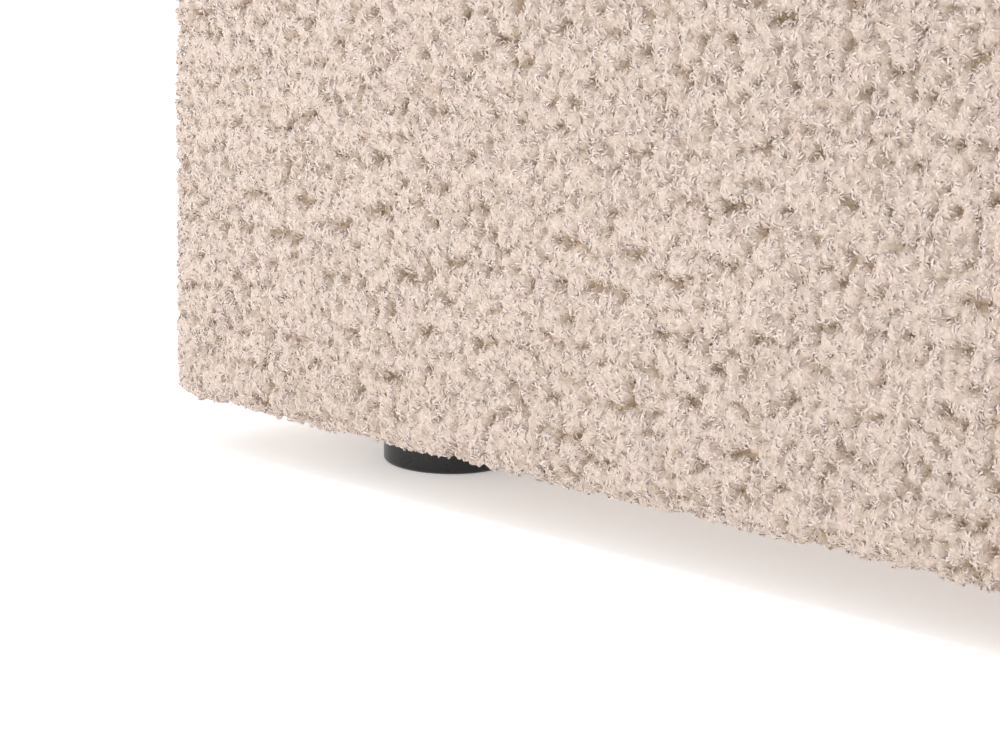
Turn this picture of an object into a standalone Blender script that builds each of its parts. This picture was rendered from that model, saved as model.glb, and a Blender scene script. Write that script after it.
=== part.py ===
"""Upholstered headboard bed for a 160 x 200 cm mattress, as an assembly of separate pieces.

Metres, +Z up. The origin is on the floor under the middle of the bed, the headboard is at +Y,
the footboard at -Y, and left and right are -X and +X.
"""

import math

import bmesh
import bpy
from mathutils import Vector

# --- Driving dimensions -------------------------------------------------------------------------
MATTRESS_WIDTH = 1.600
MATTRESS_LENGTH = 2.000
MATTRESS_PLAY = 0.010          # free space round the mattress on each side
RAIL_THICKNESS = 0.090         # upholstered side rails and footboard, fabric included
RAIL_HEIGHT = 0.290
HEADBOARD_THICKNESS = 0.100
HEADBOARD_TOP = 1.080          # above the floor
FOOT_HEIGHT = 0.020
SLAT_TOP = 0.235               # where the mattress rests, above the floor

# --- Fits and small sizes -----------------------------------------------------------------------
GAP = 0.0003                   # between pieces that touch
FABRIC = 0.0025                # thickness of the looped cover fabric
EDGE_RADIUS = 0.009            # rounding of an upholstered edge
EDGE_SEGMENTS = 3
EASED_EDGE = 0.007             # chamfer that keeps wood clear of the rounded fabric
RAIL_FOAM = 0.015
HEADBOARD_FOAM = 0.050
HEADBOARD_CORNER_RADIUS = 0.060
CORNER_SEGMENTS = 8
WEIGHTED_EDGE = "bevel_weight_edge"

PLY_WALL = 0.012               # side walls of a box beam
BATTEN = 0.025                 # top and bottom of a box beam
BOARD = 0.006                  # headboard's front board
FRAME_WIDTH = 0.060            # pine frame of the headboard
TOP_RAIL_HEIGHT = 0.075        # tall enough to carry the rounded corners

LEDGE_WIDTH = 0.030
LEDGE_HEIGHT = 0.040
SLAT_COUNT = 12
SLAT_WIDTH = 0.095
SLAT_THICKNESS = 0.018
BEAM_WIDTH = 0.045
BEAM_HEIGHT = 0.070

LEG_SPACING = 0.500
LEG_RADIUS = 0.019
LEG_FLANGE_RADIUS = 0.032
LEG_FLANGE = 0.005
LEG_BOTTOM = 0.035
LEG_BORE_TOP = 0.115
GLIDE_RADIUS = 0.022
GLIDE_DISC = 0.008
GLIDE_COLLAR_RADIUS = 0.009
GLIDE_COLLAR_TOP = 0.014
STUD_RADIUS = 0.005
STUD_TOP = 0.095
TURNED_STEPS = 16

FOOT_RADIUS = 0.025
FOOT_INSET_X = 0.0940          # from the bed's side to the middle of a corner foot
FOOT_INSET_Y = 0.060           # from the footboard's face to the middle of a corner foot
FOOT_FILLET = 0.002
FOOT_FILLET_STEPS = 2
FOOT_STEPS = 24
SCREW_WELL_RADIUS = 0.006
SCREW_WELL_DEPTH = 0.007
SCREW_HOLE_RADIUS = 0.0026

SHEET_STEEL = 0.003
BRACKET_LEG = 0.050
BRACKET_BOTTOM = 0.045
BRACKET_TOP = 0.165
BOLT_RADIUS = 0.004
BOLT_HEAD_RADIUS = 0.0075
BOLT_HEAD = 0.0045
BOLT_LENGTH = 0.034
BOLT_HOLE_PLAY = 0.0004
BOLT_INSET = 0.029             # from the bracket's corner to the bolts' axes
BOLT_HEIGHTS = (("lower", 0.075), ("upper", 0.135))
BOLT_SIDES = 10
SHOE_LENGTH = 0.045
SHOE_EAR = 0.034
SHOE_PLAY = 0.0005

# Openings in the fabric on the hidden inner faces, where it is stapled to the wood
WINDOW_BOTTOM = 0.065
WINDOW_TOP = 0.215
WINDOW_END = 0.060
BACK_MARGIN = 0.050
WINDOW_OVERRUN = 0.010

# --- Derived dimensions -------------------------------------------------------------------------
WELL_X = MATTRESS_WIDTH / 2 + MATTRESS_PLAY
WELL_LENGTH = MATTRESS_LENGTH + 2 * MATTRESS_PLAY
SIDE_X = WELL_X + RAIL_THICKNESS
FOOT_END_Y = -(RAIL_THICKNESS + WELL_LENGTH + HEADBOARD_THICKNESS) / 2
WELL_FOOT_Y = FOOT_END_Y + RAIL_THICKNESS
WELL_HEAD_Y = WELL_FOOT_Y + WELL_LENGTH
HEAD_END_Y = WELL_HEAD_Y + HEADBOARD_THICKNESS
WELL_MIDDLE_Y = (WELL_FOOT_Y + WELL_HEAD_Y) / 2
RAIL_BOTTOM = FOOT_HEIGHT
RAIL_TOP = FOOT_HEIGHT + RAIL_HEIGHT
SKIN = FABRIC + GAP            # from a cover's outer face to what lies under the fabric
SLAT_BOTTOM = SLAT_TOP - SLAT_THICKNESS
LEDGE_TOP = SLAT_BOTTOM - GAP
BEAM_BOTTOM = LEDGE_TOP - BEAM_HEIGHT

SIDES = (("left", -1), ("right", 1))
CLEAR = 0.001                  # how far a cutter passes the face it opens

# --- Colours ------------------------------------------------------------------------------------
BOUCLE = ("boucle", (0.64, 0.54, 0.46), 0.95, 0.0)
FOAM = ("foam", (0.86, 0.84, 0.74), 0.9, 0.0)
PLYWOOD = ("plywood", (0.68, 0.50, 0.32), 0.6, 0.0)
PINE = ("pine", (0.74, 0.55, 0.33), 0.55, 0.0)
LINING = ("lining", (0.035, 0.035, 0.038), 0.85, 0.0)
BLACK_PLASTIC = ("black_plastic", (0.02, 0.02, 0.021), 0.38, 0.0)
ZINC_STEEL = ("zinc_steel", (0.62, 0.63, 0.64), 0.35, 1.0)


# --- Helpers ------------------------------------------------------------------------------------
def clear_scene():
    """Remove every object that the start-up file holds."""
    for obj in list(bpy.data.objects):
        bpy.data.objects.remove(obj, do_unlink=True)


def new_collection(name):
    """A collection in the scene, to hold the parts or the cutters."""
    collection = bpy.data.collections.new(name)
    bpy.context.scene.collection.children.link(collection)
    return collection


def principled(name, colour, roughness, metallic):
    """A plain Principled material for one piece."""
    material = bpy.data.materials.new(name)
    material.use_nodes = True
    shader = material.node_tree.nodes["Principled BSDF"]
    shader.inputs["Base Color"].default_value = (*colour, 1.0)
    shader.inputs["Roughness"].default_value = roughness
    shader.inputs["Metallic"].default_value = metallic
    return material


def group(name, location):
    """An empty that carries the pieces of one sub-assembly."""
    empty = bpy.data.objects.new(name + "_group", None)
    empty.location = location
    PARTS.objects.link(empty)
    return empty


def add_part(name, mesh, parent, location, finish):
    """Put a mesh in the scene as one piece, at a place in the bed's frame, carried by a group."""
    obj = bpy.data.objects.new(name, mesh)
    obj.location = Vector(location) - parent.location
    obj.parent = parent
    PARTS.objects.link(obj)
    mesh.materials.append(principled(f"{finish[0]}_{name}", *finish[1:]))
    return obj


def add_cutter(name, mesh, location):
    """Put a mesh in the scene as a cutter, which is no part of the bed."""
    obj = bpy.data.objects.new(name, mesh)
    obj.location = location
    obj.display_type = "WIRE"
    obj.hide_render = True
    CUTTERS.objects.link(obj)
    return obj


def box_mesh(name, low, high, round_top=False):
    """A box as a mesh about its own middle; round_top marks its two upper corners for rounding."""
    size = Vector(high) - Vector(low)
    bm = bmesh.new()
    bmesh.ops.create_cube(bm, size=1.0)
    bmesh.ops.scale(bm, vec=size, verts=bm.verts)
    if round_top:
        weight = bm.edges.layers.float.new(WEIGHTED_EDGE)
        for edge in bm.edges:
            first, second = (v.co for v in edge.verts)
            along_y = abs(first.y - second.y) > size.y / 2
            edge[weight] = 1.0 if along_y and first.z > 0 else 0.0
    mesh = bpy.data.meshes.new(name)
    bm.to_mesh(mesh)
    bm.free()
    return mesh


def middle(low, high):
    return (Vector(low) + Vector(high)) / 2


def box(name, parent, low, high, finish, round_top=False):
    """A box-shaped piece between two corners."""
    mesh = box_mesh(name, low, high, round_top)
    return add_part(name, mesh, parent, middle(low, high), finish)


def box_cutter(name, low, high, round_top=False):
    """A box-shaped cutter between two corners."""
    return add_cutter(name, box_mesh(name, low, high, round_top), middle(low, high))


def bevel(obj, width, segments):
    """Round or chamfer every sharp edge of a piece."""
    modifier = obj.modifiers.new("edges", "BEVEL")
    modifier.width = width
    modifier.segments = segments
    modifier.limit_method = "ANGLE"
    modifier.angle_limit = math.radians(30)
    return obj


def round_corners(obj, radius):
    """Round the corners that box_mesh marked."""
    modifier = obj.modifiers.new("corners", "BEVEL")
    modifier.width = radius
    modifier.segments = CORNER_SEGMENTS
    modifier.limit_method = "WEIGHT"
    return obj


def cut(obj, *cutters):
    """Take the cutters out of a piece."""
    for cutter in cutters:
        modifier = obj.modifiers.new("cut_" + cutter.name, "BOOLEAN")
        modifier.operation = "DIFFERENCE"
        modifier.solver = "EXACT"
        modifier.object = cutter
    return obj


def cylinder_cutter(name, radius, length, centre, axis, sides=BOLT_SIDES):
    """A round cutter centred on a point, lying along an axis."""
    bm = bmesh.new()
    bmesh.ops.create_cone(
        bm, cap_ends=True, segments=sides, radius1=radius, radius2=radius, depth=length
    )
    turn = Vector((0, 0, 1)).rotation_difference(Vector(axis)).to_matrix()
    bmesh.ops.rotate(bm, matrix=turn, verts=bm.verts)
    mesh = bpy.data.meshes.new(name)
    bm.to_mesh(mesh)
    bm.free()
    return add_cutter(name, mesh, centre)


def turned(
    name, parent, profile, location, finish, steps=TURNED_STEPS, axis=(0, 0, 1), closed=False
):
    """A turned piece: a profile of (radius, height) points, outer side top to bottom, spun once.

    The profile starts and ends on the axis, or is a closed loop round a through hole. The
    profile's height points along axis.
    """
    mesh = bpy.data.meshes.new(name)
    points = [(radius, 0.0, height) for radius, height in profile]
    edges = [(i, i + 1) for i in range(len(points) - 1)]
    if closed:
        edges.append((len(points) - 1, 0))
    mesh.from_pydata(points, edges, [])
    obj = add_part(name, mesh, parent, location, finish)
    obj.rotation_mode = "QUATERNION"
    obj.rotation_quaternion = Vector((0, 0, 1)).rotation_difference(Vector(axis))
    screw = obj.modifiers.new("turn", "SCREW")
    screw.steps = steps
    screw.render_steps = steps
    screw.use_merge_vertices = True
    screw.merge_threshold = 0.00001
    screw.use_smooth_shade = True
    return obj


def arc(centre_r, centre_z, radius, start_deg, end_deg, steps):
    """Points of an arc in a turned profile, as (radius, height)."""
    turns = [math.radians(start_deg + (end_deg - start_deg) * i / steps) for i in range(steps + 1)]
    return [(centre_r + radius * math.cos(a), centre_z + radius * math.sin(a)) for a in turns]


def folded_sheet(name, parent, corners, faces, location, thickness, finish):
    """A sheet-metal piece: flat faces that share their fold lines, thickened inwards."""
    mesh = bpy.data.meshes.new(name)
    mesh.from_pydata(corners, [], faces)
    obj = add_part(name, mesh, parent, location, finish)
    solid = obj.modifiers.new("thickness", "SOLIDIFY")
    solid.thickness = thickness
    solid.offset = -1
    solid.use_even_offset = True
    return obj


# --- Upholstered pieces -------------------------------------------------------------------------
def shrink(low, high, amount):
    """The same box with every face moved in."""
    inset = Vector((amount, amount, amount))
    return Vector(low) + inset, Vector(high) - inset


def fabric_cover(name, parent, low, high, windows, round_top=False):
    """A fitted fabric cover: a thin rounded case whose windows leave the wood bare."""
    cover = box(name, parent, low, high, BOUCLE, round_top)
    inner_low, inner_high = shrink(low, high, FABRIC)
    cavity = box_cutter(name + "_cavity", inner_low, inner_high, round_top)
    if round_top:
        round_corners(cover, HEADBOARD_CORNER_RADIUS)
        round_corners(cavity, HEADBOARD_CORNER_RADIUS - FABRIC)
    bevel(cover, EDGE_RADIUS, EDGE_SEGMENTS)
    bevel(cavity, EDGE_RADIUS - FABRIC, EDGE_SEGMENTS)
    cut(cover, cavity)
    for number, (window_low, window_high) in enumerate(windows, 1):
        cut(cover, box_cutter(f"{name}_window_{number}", window_low, window_high))
    return cover


def rail_foam(name, parent, low, high, core_low, core_high, inner_axis, inner_sign):
    """Foam over a rail: outer face, top and ends, open underneath and on the inner side."""
    foam_low, foam_high = (Vector(v) for v in shrink(low, high, SKIN))
    foam_low.z += EASED_EDGE
    if inner_sign > 0:
        foam_high[inner_axis] -= EASED_EDGE
    else:
        foam_low[inner_axis] += EASED_EDGE
    foam = box(name, parent, foam_low, foam_high, FOAM)
    bevel(foam, EDGE_RADIUS - FABRIC, EDGE_SEGMENTS)
    room_low, room_high = (Vector(v) for v in shrink(core_low, core_high, -GAP))
    room_low.z = foam_low.z - CLEAR
    if inner_sign > 0:
        room_high[inner_axis] = foam_high[inner_axis] + CLEAR
    else:
        room_low[inner_axis] = foam_low[inner_axis] - CLEAR
    return cut(foam, box_cutter(name + "_room", room_low, room_high))


def box_beam(name, parent, low, high, along):
    """A hollow wooden beam, open at both ends: plywood walls glued to pine battens."""
    beam = bevel(box(name, parent, low, high, PLYWOOD), EASED_EDGE, 1)
    hollow_low, hollow_high = Vector(low), Vector(high)
    across = 1 - along
    hollow_low[across] += PLY_WALL
    hollow_high[across] -= PLY_WALL
    hollow_low.z += BATTEN
    hollow_high.z -= BATTEN
    hollow_low[along] -= CLEAR
    hollow_high[along] += CLEAR
    return cut(beam, box_cutter(name + "_hollow", hollow_low, hollow_high))


def bolt_hole(end, side_name, sign, height_name, height):
    """Clearance hole for a bolt that joins a bracket to the footboard or the headboard."""
    face_y = WELL_FOOT_Y if end == "foot" else WELL_HEAD_Y
    centre = (sign * (WELL_X - BOLT_INSET), face_y, height)
    name = f"hole_{end}_{side_name}_{height_name}"
    return cylinder_cutter(name, BOLT_RADIUS + BOLT_HOLE_PLAY, 2 * BOLT_LENGTH, centre, (0, 1, 0))


def make_footboard(holes):
    """The footboard: a box beam, foam over it and a fabric cover with no seam on its face."""
    parent = group("footboard", (0, (FOOT_END_Y + WELL_FOOT_Y) / 2, RAIL_BOTTOM))
    low = Vector((-SIDE_X, FOOT_END_Y, RAIL_BOTTOM))
    high = Vector((SIDE_X, WELL_FOOT_Y, RAIL_TOP))
    window_low = (-SIDE_X + WINDOW_END, WELL_FOOT_Y - WINDOW_OVERRUN, WINDOW_BOTTOM)
    window_high = (SIDE_X - WINDOW_END, WELL_FOOT_Y + WINDOW_OVERRUN, WINDOW_TOP)
    fabric_cover("footboard_cover", parent, low, high, [(window_low, window_high)])

    padding = SKIN + RAIL_FOAM + GAP
    core_low = low + Vector((padding, padding, SKIN))
    core_high = high - Vector((padding, SKIN, padding))
    rail_foam("footboard_foam", parent, low, high, core_low, core_high, 1, 1)
    cut(box_beam("footboard_beam", parent, core_low, core_high, 0), *holes)


def make_side_rail(side_name, sign):
    """A side rail, between the footboard and the headboard, with its slat ledge."""
    parent = group(f"side_rail_{side_name}", (sign * (WELL_X + SIDE_X) / 2, WELL_MIDDLE_Y, RAIL_BOTTOM))
    inner, outer = sorted((sign * WELL_X, sign * SIDE_X))
    low = Vector((inner, WELL_FOOT_Y + GAP, RAIL_BOTTOM))
    high = Vector((outer, WELL_HEAD_Y - GAP, RAIL_TOP))
    window_x = sorted((sign * (WELL_X - WINDOW_OVERRUN), sign * (WELL_X + WINDOW_OVERRUN)))
    window_low = (window_x[0], low.y + WINDOW_END, WINDOW_BOTTOM)
    window_high = (window_x[1], high.y - WINDOW_END, WINDOW_TOP)
    name = f"side_rail_{side_name}"
    fabric_cover(name + "_cover", parent, low, high, [(window_low, window_high)])

    padding = SKIN + RAIL_FOAM + GAP
    core_low = low + Vector((SKIN, padding, SKIN))
    core_high = high - Vector((SKIN, padding, padding))
    if sign > 0:
        core_high.x = high.x - padding
    else:
        core_low.x = low.x + padding
    rail_foam(name + "_foam", parent, low, high, core_low, core_high, 0, -sign)
    box_beam(name + "_beam", parent, core_low, core_high, 1)

    ledge_x = sorted((sign * (WELL_X - GAP), sign * (WELL_X - GAP - LEDGE_WIDTH)))
    ledge_low = (ledge_x[0], low.y + CLEAR, LEDGE_TOP - LEDGE_HEIGHT)
    ledge_high = (ledge_x[1], high.y - CLEAR, LEDGE_TOP)
    bevel(box(f"slat_ledge_{side_name}", parent, ledge_low, ledge_high, PINE), 0.002, 1)


def make_headboard(holes):
    """The headboard: box beam at the bottom, pine frame, board, thick foam, cover and lining."""
    parent = group("headboard", (0, (WELL_HEAD_Y + HEAD_END_Y) / 2, RAIL_BOTTOM))
    low = Vector((-SIDE_X, WELL_HEAD_Y, RAIL_BOTTOM))
    high = Vector((SIDE_X, HEAD_END_Y, HEADBOARD_TOP))
    front_window = (
        (-WELL_X + MATTRESS_PLAY, WELL_HEAD_Y - WINDOW_OVERRUN, WINDOW_BOTTOM),
        (WELL_X - MATTRESS_PLAY, WELL_HEAD_Y + WINDOW_OVERRUN, WINDOW_TOP),
    )
    back_x = SIDE_X - BACK_MARGIN
    back_bottom = RAIL_BOTTOM + BACK_MARGIN
    back_top = HEADBOARD_TOP - BACK_MARGIN
    back_window = (
        (-back_x, HEAD_END_Y - WINDOW_OVERRUN, back_bottom),
        (back_x, HEAD_END_Y + WINDOW_OVERRUN, back_top),
    )
    fabric_cover("headboard_cover", parent, low, high, [front_window, back_window], round_top=True)
    lining_low = (-back_x + GAP, HEAD_END_Y - FABRIC - GAP / 2, back_bottom + GAP)
    lining_high = (back_x - GAP, HEAD_END_Y - 2 * GAP, back_top - GAP)
    box("headboard_back_lining", parent, lining_low, lining_high, LINING)

    # From the front: foam over the box beam's level, board, frame
    side = SIDE_X - SKIN
    top = HEADBOARD_TOP - SKIN
    foam_front = WELL_HEAD_Y + SKIN
    foam_back = foam_front + HEADBOARD_FOAM
    board_front = foam_back + GAP
    board_back = board_front + BOARD
    frame_front = board_back + GAP
    frame_back = HEAD_END_Y - SKIN - GAP
    beam_top = RAIL_TOP - EASED_EDGE
    above_beam = beam_top + GAP

    foam = box(
        "headboard_foam", parent, (-side, foam_front, above_beam), (side, foam_back, top), FOAM, True
    )
    round_corners(foam, HEADBOARD_CORNER_RADIUS - SKIN)
    bevel(foam, EASED_EDGE, EDGE_SEGMENTS)
    board = box(
        "headboard_front_board",
        parent,
        (-side, board_front, above_beam),
        (side, board_back, top),
        PLYWOOD,
        True,
    )
    round_corners(board, HEADBOARD_CORNER_RADIUS - SKIN)

    beam_low = (-side, foam_front, RAIL_BOTTOM + SKIN)
    beam_high = (side, board_back, beam_top)
    cut(box_beam("headboard_lower_beam", parent, beam_low, beam_high, 0), *holes)

    stile_top = top - TOP_RAIL_HEIGHT
    for side_name, sign in SIDES:
        stile_x = sorted((sign * side, sign * (side - FRAME_WIDTH)))
        stile_low = (stile_x[0], frame_front, RAIL_BOTTOM + SKIN)
        stile_high = (stile_x[1], frame_back, stile_top - GAP)
        stile = box(f"headboard_stile_{side_name}", parent, stile_low, stile_high, PINE)
        bevel(stile, EASED_EDGE, 1)
    inner_x = side - FRAME_WIDTH - GAP
    top_rail = box(
        "headboard_top_rail", parent, (-side, frame_front, stile_top), (side, frame_back, top), PINE, True
    )
    round_corners(top_rail, HEADBOARD_CORNER_RADIUS - SKIN)
    bevel(top_rail, EASED_EDGE, 1)
    middle_bottom = (RAIL_TOP + HEADBOARD_TOP) / 2 - FRAME_WIDTH / 2
    for rail_name, rail_bottom in (("bottom", RAIL_BOTTOM + SKIN), ("middle", middle_bottom)):
        rail_low = (-inner_x, frame_front, rail_bottom)
        rail_high = (inner_x, frame_back, rail_bottom + FRAME_WIDTH)
        rail = box(f"headboard_{rail_name}_rail", parent, rail_low, rail_high, PINE)
        bevel(rail, EASED_EDGE, 1)


# --- Slatted base -------------------------------------------------------------------------------
def make_slats():
    """Full-width pine slats that lie on the ledges and the centre beam."""
    parent = group("slatted_base", (0, WELL_MIDDLE_Y, SLAT_BOTTOM))
    half = MATTRESS_WIDTH / 2
    first_y = WELL_MIDDLE_Y - (MATTRESS_LENGTH - SLAT_WIDTH) / 2
    pitch = (MATTRESS_LENGTH - SLAT_WIDTH) / (SLAT_COUNT - 1)
    for number in range(SLAT_COUNT):
        y = first_y + number * pitch
        low = (-half, y - SLAT_WIDTH / 2, SLAT_BOTTOM)
        high = (half, y + SLAT_WIDTH / 2, SLAT_TOP)
        slat = box(f"slat_{number + 1:02d}", parent, low, high, PINE)
        bevel(slat, 0.003, 1)


def make_beam_shoe(name, parent, face_y, into_well):
    """A folded steel saddle on the inner face at face_y that carries one end of the centre beam."""
    half = BEAM_WIDTH / 2 + SHOE_PLAY
    floor_z = -BEAM_HEIGHT - GAP
    back = into_well * GAP
    front = into_well * (GAP + SHOE_LENGTH)
    top_z = -SHOE_PLAY
    corners = [
        (-half - SHOE_EAR, back, floor_z),
        (-half - SHOE_EAR, back, top_z),
        (-half, back, floor_z),
        (-half, back, top_z),
        (half, back, floor_z),
        (half, back, top_z),
        (half + SHOE_EAR, back, floor_z),
        (half + SHOE_EAR, back, top_z),
        (-half, front, floor_z),
        (-half, front, top_z),
        (half, front, floor_z),
        (half, front, top_z),
    ]
    left_ear, left_wall, bottom = (0, 2, 3, 1), (2, 8, 9, 3), (2, 4, 10, 8)
    right_wall, right_ear = (4, 5, 11, 10), (4, 6, 7, 5)
    faces = [left_ear, left_wall, bottom, right_wall, right_ear]
    if into_well < 0:
        faces = [tuple(reversed(face)) for face in faces]
    place = (0, face_y, LEDGE_TOP)
    return folded_sheet(name, parent, corners, faces, place, SHEET_STEEL, ZINC_STEEL)


def make_centre_beam():
    """The beam under the middle of the slats and the steel saddles that hold its ends."""
    parent = group("centre_support", (0, WELL_MIDDLE_Y, LEDGE_TOP))
    end_play = SHEET_STEEL + 3 * GAP
    low = (-BEAM_WIDTH / 2, WELL_FOOT_Y + end_play, BEAM_BOTTOM)
    high = (BEAM_WIDTH / 2, WELL_HEAD_Y - end_play, LEDGE_TOP)
    bevel(box("centre_beam", parent, low, high, PINE), 0.002, 1)
    make_beam_shoe("beam_shoe_foot", parent, WELL_FOOT_Y, 1)
    make_beam_shoe("beam_shoe_head", parent, WELL_HEAD_Y, -1)
    return parent


def make_support_leg(number, beam_group):
    """A bored plastic leg under the beam, with a levelling glide that screws in and out of it."""
    y = WELL_MIDDLE_Y + (number - 2) * LEG_SPACING
    top = BEAM_BOTTOM - GAP
    bore_radius = STUD_RADIUS + GAP
    leg_profile = [
        (0.0, top),
        (LEG_FLANGE_RADIUS, top),
        (LEG_FLANGE_RADIUS, top - LEG_FLANGE),
        (LEG_RADIUS + 0.003, top - LEG_FLANGE),
        (LEG_RADIUS, top - LEG_FLANGE - 0.003),
        (LEG_RADIUS, LEG_BOTTOM),
        (bore_radius, LEG_BOTTOM),
        (bore_radius, LEG_BORE_TOP),
        (0.0, LEG_BORE_TOP),
    ]
    turned(f"support_leg_{number}", beam_group, leg_profile, (0, y, 0), BLACK_PLASTIC)

    axis_empty = group(f"support_glide_{number}", (0, y, 0))
    glide_profile = [
        (0.0, STUD_TOP),
        (STUD_RADIUS - 0.001, STUD_TOP),
        (STUD_RADIUS, STUD_TOP - 0.001),
        (STUD_RADIUS, GLIDE_COLLAR_TOP),
        (GLIDE_COLLAR_RADIUS, GLIDE_COLLAR_TOP),
        (GLIDE_COLLAR_RADIUS, GLIDE_DISC + 0.001),
        (GLIDE_RADIUS - 0.003, GLIDE_DISC),
        (GLIDE_RADIUS, GLIDE_DISC - 0.002),
        (GLIDE_RADIUS, 0.0015),
        (GLIDE_RADIUS - 0.0015, 0.0),
        (0.0, 0.0),
    ]
    turned(f"support_glide_{number}", axis_empty, glide_profile, (0, y, 0), BLACK_PLASTIC)


# --- Feet and fittings --------------------------------------------------------------------------
def make_foot(name, parent, x, y):
    """A low plastic disc foot with a well and a through hole for its screw."""
    top = FOOT_HEIGHT - GAP
    rim = arc(FOOT_RADIUS - FOOT_FILLET, FOOT_FILLET, FOOT_FILLET, 0, -90, FOOT_FILLET_STEPS)
    profile = [
        (SCREW_HOLE_RADIUS, top),
        (FOOT_RADIUS, top),
        *rim,
        (SCREW_WELL_RADIUS, 0.0),
        (SCREW_WELL_RADIUS, SCREW_WELL_DEPTH),
        (SCREW_HOLE_RADIUS, SCREW_WELL_DEPTH),
    ]
    return turned(name, parent, profile, (x, y, 0), BLACK_PLASTIC, FOOT_STEPS, closed=True)


def make_feet():
    """Two feet under the footboard, one under each side rail and two under the headboard."""
    parent = group("feet", (0, 0, 0))
    corner_x = SIDE_X - FOOT_INSET_X
    rail_x = (WELL_X + SIDE_X) / 2
    places = (
        ("front", corner_x, FOOT_END_Y + FOOT_INSET_Y),
        ("middle", rail_x, WELL_MIDDLE_Y),
        ("back", corner_x, HEAD_END_Y - FOOT_INSET_Y),
    )
    for place_name, x, y in places:
        for side_name, sign in SIDES:
            make_foot(f"foot_{place_name}_{side_name}", parent, sign * x, y)


def make_bracket(end, side_name, sign, holes):
    """A steel angle in a corner of the well, under the slats, joining a side rail to an end."""
    into_well = 1 if end == "foot" else -1
    face_y = WELL_FOOT_Y if end == "foot" else WELL_HEAD_Y
    parent = group(f"corner_{end}_{side_name}", (sign * WELL_X, face_y, BRACKET_BOTTOM))
    height = BRACKET_TOP - BRACKET_BOTTOM
    x, y = -sign * GAP, into_well * GAP
    far_x, far_y = x - sign * BRACKET_LEG, y + into_well * BRACKET_LEG
    plan = [(far_x, y), (x, y), (x, far_y)]
    corners = [(px, py, z) for z in (0.0, height) for px, py in plan]
    faces = [(0, 1, 4, 3), (1, 2, 5, 4)]
    if sign * into_well < 0:
        faces = [tuple(reversed(face)) for face in faces]
    place = (sign * WELL_X, face_y, BRACKET_BOTTOM)
    name = f"corner_bracket_{end}_{side_name}"
    bracket = folded_sheet(name, parent, corners, faces, place, SHEET_STEEL, ZINC_STEEL)
    cut(bracket, *holes)

    head_profile = [
        (0.0, BOLT_HEAD),
        (BOLT_HEAD_RADIUS - 0.0015, BOLT_HEAD),
        (BOLT_HEAD_RADIUS, BOLT_HEAD - 0.0015),
        (BOLT_HEAD_RADIUS, 0.0),
        (BOLT_RADIUS, 0.0),
        (BOLT_RADIUS, -BOLT_LENGTH + 0.001),
        (BOLT_RADIUS - 0.001, -BOLT_LENGTH),
        (0.0, -BOLT_LENGTH),
    ]
    seat_y = face_y + into_well * (SHEET_STEEL + 2 * GAP)
    for height_name, z in BOLT_HEIGHTS:
        place = (sign * (WELL_X - BOLT_INSET), seat_y, z)
        bolt_name = f"bolt_{end}_{side_name}_{height_name}"
        turned(bolt_name, parent, head_profile, place, ZINC_STEEL, BOLT_SIDES, (0, into_well, 0))


def make_bed():
    """The whole bed."""
    holes = {
        (end, side_name): [
            bolt_hole(end, side_name, sign, height_name, height)
            for height_name, height in BOLT_HEIGHTS
        ]
        for end in ("foot", "head")
        for side_name, sign in SIDES
    }
    make_footboard(holes["foot", "left"] + holes["foot", "right"])
    make_headboard(holes["head", "left"] + holes["head", "right"])
    for side_name, sign in SIDES:
        make_side_rail(side_name, sign)
        for end in ("foot", "head"):
            make_bracket(end, side_name, sign, holes[end, side_name])
    make_slats()
    beam_group = make_centre_beam()
    for number in (1, 2, 3):
        make_support_leg(number, beam_group)
    make_feet()


clear_scene()
PARTS = new_collection("upholstered_headboard_bed")
CUTTERS = new_collection("cutters")
make_bed()
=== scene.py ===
import itertools
import math

import bpy
import numpy as np
from mathutils import Matrix, Vector


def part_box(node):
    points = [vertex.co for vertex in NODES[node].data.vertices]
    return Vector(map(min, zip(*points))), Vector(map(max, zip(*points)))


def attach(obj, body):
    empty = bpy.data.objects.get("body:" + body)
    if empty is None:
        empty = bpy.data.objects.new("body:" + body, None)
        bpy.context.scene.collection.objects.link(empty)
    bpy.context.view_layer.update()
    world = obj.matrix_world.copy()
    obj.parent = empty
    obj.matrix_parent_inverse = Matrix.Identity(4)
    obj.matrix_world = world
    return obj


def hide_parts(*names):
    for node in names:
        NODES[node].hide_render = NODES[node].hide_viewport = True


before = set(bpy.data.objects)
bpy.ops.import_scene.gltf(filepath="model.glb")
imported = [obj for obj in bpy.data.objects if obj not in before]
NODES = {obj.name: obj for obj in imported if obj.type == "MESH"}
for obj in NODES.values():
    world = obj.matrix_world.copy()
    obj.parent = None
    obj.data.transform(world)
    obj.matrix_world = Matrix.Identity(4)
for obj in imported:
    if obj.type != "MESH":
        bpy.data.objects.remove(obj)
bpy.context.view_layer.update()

BED = "bed"

# Sizes and places are in metres.

# Camera: where the photograph was taken from, measured from the floor under the footboard's left corner
LENS = 86.4
SENSOR = 36.0
CAMERA_NEAR = 0.05
CAMERA_FROM_CORNER = Vector((0.7195, -0.6053, 0.2213))
CAMERA_YAW = math.radians(42.0)
CAMERA_PITCH = math.radians(11.57)
CAMERA_ROLL = math.radians(1.46)

# Studio
FLOOR_SIZE = 60.0
FLOOR_COLOUR = (0.92, 0.92, 0.92, 1.0)
FLOOR_GLOW = 0.35
WORLD_LIGHT = 0.98
LIGHTS = (  # name, power, size, spread in degrees, from, towards
    ("key", 3.6, 0.5, 180, Vector((-1.35, -1.75, 0.12)), Vector((-0.75, -1.1, 0.06))),
    ("floor_bounce", 0.5, 0.4, 45, Vector((-0.62, -1.45, 1.0)), Vector((-0.62, -1.45, 0.0))),
)

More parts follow.
